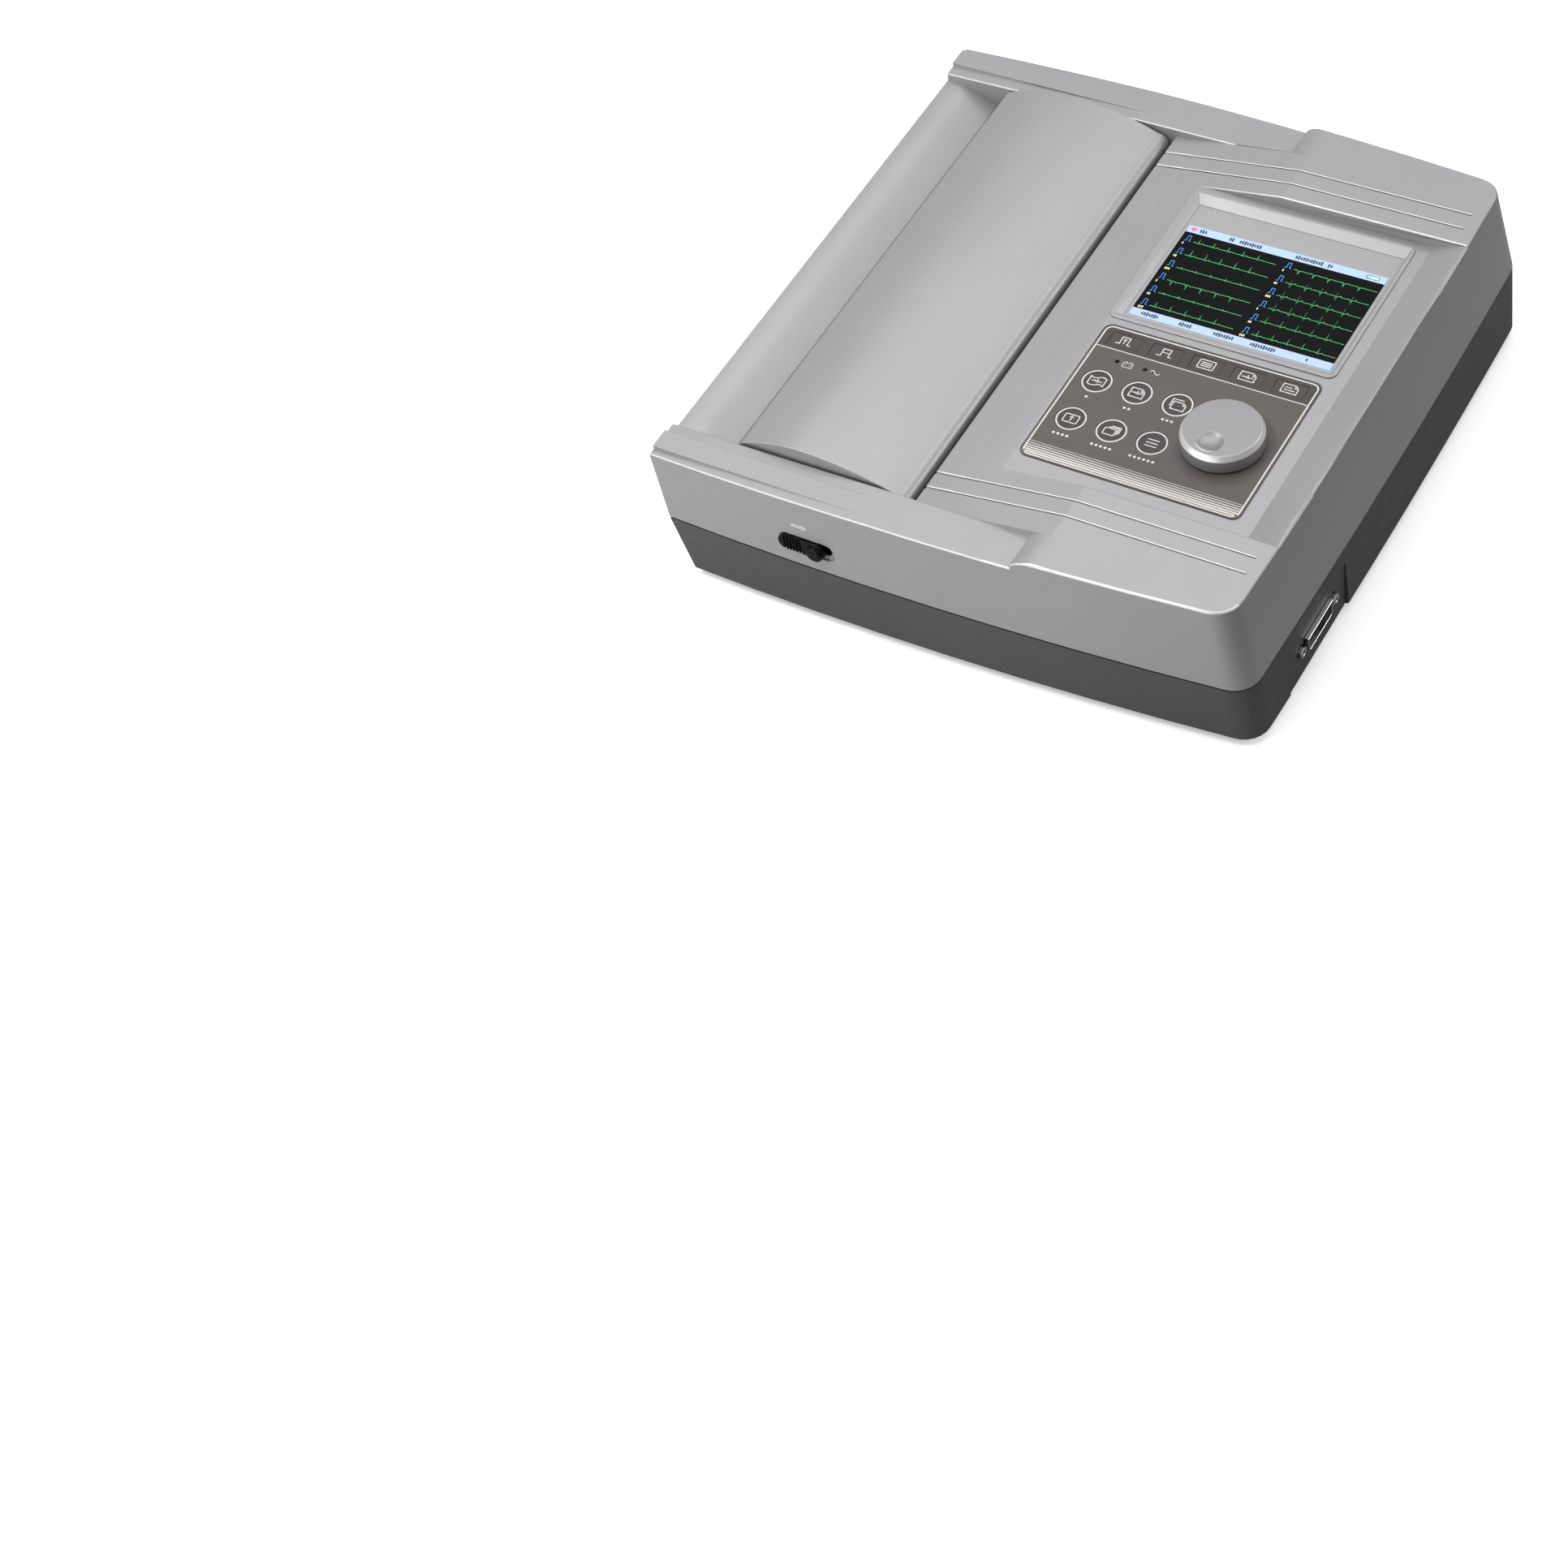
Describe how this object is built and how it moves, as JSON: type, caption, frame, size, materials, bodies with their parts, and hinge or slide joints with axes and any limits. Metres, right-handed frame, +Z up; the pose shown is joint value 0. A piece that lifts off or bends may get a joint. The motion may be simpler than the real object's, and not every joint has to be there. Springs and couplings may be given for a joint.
{
  "type": "electrocardiograph",
  "caption": "Portable ECG machine: silver case with a lift-up paper door over a built-in printer, a recessed screen, a keypad with a jog dial and a lead socket.",
  "frame": {"origin": "centre of the footprint, on the surface the feet stand on", "axes": "+X to the right as the user faces the machine, with the paper door on the left; +Y to the back, where the mains inlet is; +Z up"},
  "size_m": [0.2964, 0.3121, 0.0872],
  "materials": {
    "aluminium": "extruded",
    "battery_wrap": "shrink film",
    "black_plastic": "gloss",
    "brass": "turned",
    "cable": "flat cable",
    "card": "wound card",
    "chrome": "plated",
    "circuit_board": "solder mask",
    "dark_metal": "matt",
    "dark_shell": "fine matt texture",
    "dial_silver": "satin",
    "foot_rubber": "moulded",
    "overlay": "satin printed film",
    "paper": "coated thermal paper",
    "roller_rubber": "ground",
    "screen_glass": "gloss",
    "silver_paint": "satin metallic paint",
    "steel": "satin",
    "white_plastic": "smooth"
  },
  "bodies": {
    "case": {"upper_shell": "silver_paint", "lower_shell": "dark_shell", "screen_bezel": "silver_paint", "screen_glass": "screen_glass", "lcd_module": "dark_metal", "keypad_overlay": "overlay", "keypad_board": "circuit_board", "key_domes": "steel", "status_leds": "black_plastic", "encoder_body": "steel", "hinge_pins": "steel", "thermal_head": "white_plastic", "head_heatsink": "aluminium", "head_bracket": "steel", "head_springs": "steel", "gear_plate": "steel", "stepper_motor": "steel", "paper_tub": "dark_shell", "main_board": "circuit_board", "board_screws": "steel", "front_end_board": "steel", "power_board": "circuit_board", "battery_pack": "battery_wrap", "speaker": "black_plastic", "ribbon_cables": "cable", "lead_socket": "chrome", "lead_jackscrews": "chrome", "mains_inlet": "black_plastic", "switch_housing": "black_plastic", "earth_pin": "brass", "data_jack": "steel", "rubber_feet": "foot_rubber", "case_screws": "steel"},
    "paper_door": {"paper_door": "silver_paint", "platen_bushes": "white_plastic"},
    "platen": {"platen_roller": "roller_rubber", "platen_shaft": "steel", "platen_gear": "white_plastic"},
    "paper_roll": {"paper_roll": "paper", "roll_core": "card"},
    "idler": {"idler_gear": "white_plastic"},
    "motor_rotor": {"motor_pinion": "brass", "motor_shaft": "steel"},
    "latch": {"latch_slider": "black_plastic"},
    "dial_plunger": {"encoder_plunger": "white_plastic"},
    "dial": {"jog_dial": "dial_silver", "encoder_shaft": "steel"},
    "rocker": {"power_rocker": "black_plastic"},
    "battery_cover": {"battery_door": "dark_shell"},
    "wave_key": {"wave_key": "overlay"},
    "record_key": {"record_key": "overlay"},
    "copy_key": {"copy_key": "overlay"},
    "home_key": {"home_key": "overlay"},
    "view_key": {"view_key": "overlay"},
    "menu_key": {"menu_key": "overlay"},
    "soft_key_1": {"soft_key_1": "overlay"},
    "soft_key_2": {"soft_key_2": "overlay"},
    "soft_key_3": {"soft_key_3": "overlay"},
    "soft_key_4": {"soft_key_4": "overlay"},
    "soft_key_5": {"soft_key_5": "overlay"}
  },
  "joints": [
    {"name": "door_hinge", "type": "hinge", "parent": "case", "child": "paper_door", "pos_m": [-0.03, 0, 0.0691], "axis": [0, 1, 0], "range_deg": [0, 90]},
    {"name": "platen_spin", "type": "hinge", "parent": "paper_door", "child": "platen", "pos_m": [-0.1065, 0, 0.063], "axis": [0, 1, 0], "continuous": true},
    {"name": "roll_spin", "type": "hinge", "parent": "case", "child": "paper_roll", "pos_m": [-0.06, 0, 0.0395], "axis": [0, 1, 0], "continuous": true},
    {"name": "idler_spin", "type": "hinge", "parent": "case", "child": "idler", "pos_m": [-0.1065, -0.1215, 0.0422], "axis": [0, 1, 0], "continuous": true},
    {"name": "motor_spin", "type": "hinge", "parent": "case", "child": "motor_rotor", "pos_m": [-0.12008, -0.1215, 0.02862], "axis": [0, 1, 0], "continuous": true},
    {"name": "latch_slide", "type": "slide", "parent": "case", "child": "latch", "axis": [1, 0, 0], "range_m": [0, 0.0044], "stiffness_N_per_m": 200, "springref_m": -0.003},
    {"name": "dial_push", "type": "slide", "parent": "case", "child": "dial_plunger", "axis": [0, 0, -1], "range_m": [0, 0.0008], "stiffness_N_per_m": 2000, "springref_m": -0.0005},
    {"name": "dial_turn", "type": "hinge", "parent": "dial_plunger", "child": "dial", "pos_m": [0.0888, -0.0479, 0.08], "axis": [0, 0, 1], "continuous": true},
    {"name": "power_rock", "type": "hinge", "parent": "case", "child": "rocker", "pos_m": [0.08, 0.136, 0.022], "axis": [1, 0, 0], "range_deg": [0, 16]},
    {"name": "battery_cover_lift", "type": "slide", "parent": "case", "child": "battery_cover", "axis": [0, 0, -1], "range_m": [0, 0.03]},
    {"name": "wave_key_press", "type": "slide", "parent": "case", "child": "wave_key", "axis": [0, 0, -1], "range_m": [0, 0.0004], "stiffness_N_per_m": 3000, "springref_m": -0.0002},
    {"name": "record_key_press", "type": "slide", "parent": "case", "child": "record_key", "axis": [0, 0, -1], "range_m": [0, 0.0004], "stiffness_N_per_m": 3000, "springref_m": -0.0002},
    {"name": "copy_key_press", "type": "slide", "parent": "case", "child": "copy_key", "axis": [0, 0, -1], "range_m": [0, 0.0004], "stiffness_N_per_m": 3000, "springref_m": -0.0002},
    {"name": "home_key_press", "type": "slide", "parent": "case", "child": "home_key", "axis": [0, 0, -1], "range_m": [0, 0.0004], "stiffness_N_per_m": 3000, "springref_m": -0.0002},
    {"name": "view_key_press", "type": "slide", "parent": "case", "child": "view_key", "axis": [0, 0, -1], "range_m": [0, 0.0004], "stiffness_N_per_m": 3000, "springref_m": -0.0002},
    {"name": "menu_key_press", "type": "slide", "parent": "case", "child": "menu_key", "axis": [0, 0, -1], "range_m": [0, 0.0004], "stiffness_N_per_m": 3000, "springref_m": -0.0002},
    {"name": "soft_key_1_press", "type": "slide", "parent": "case", "child": "soft_key_1", "axis": [0, 0, -1], "range_m": [0, 0.0004], "stiffness_N_per_m": 3000, "springref_m": -0.0002},
    {"name": "soft_key_2_press", "type": "slide", "parent": "case", "child": "soft_key_2", "axis": [0, 0, -1], "range_m": [0, 0.0004], "stiffness_N_per_m": 3000, "springref_m": -0.0002},
    {"name": "soft_key_3_press", "type": "slide", "parent": "case", "child": "soft_key_3", "axis": [0, 0, -1], "range_m": [0, 0.0004], "stiffness_N_per_m": 3000, "springref_m": -0.0002},
    {"name": "soft_key_4_press", "type": "slide", "parent": "case", "child": "soft_key_4", "axis": [0, 0, -1], "range_m": [0, 0.0004], "stiffness_N_per_m": 3000, "springref_m": -0.0002},
    {"name": "soft_key_5_press", "type": "slide", "parent": "case", "child": "soft_key_5", "axis": [0, 0, -1], "range_m": [0, 0.0004], "stiffness_N_per_m": 3000, "springref_m": -0.0002}
  ],
  "couplings": [
    {"joint": "platen_spin", "follows": "roll_spin", "ratio": 3.8571},
    {"joint": "idler_spin", "follows": "roll_spin", "ratio": -2.4107},
    {"joint": "motor_spin", "follows": "roll_spin", "ratio": 4.8214}
  ]
}
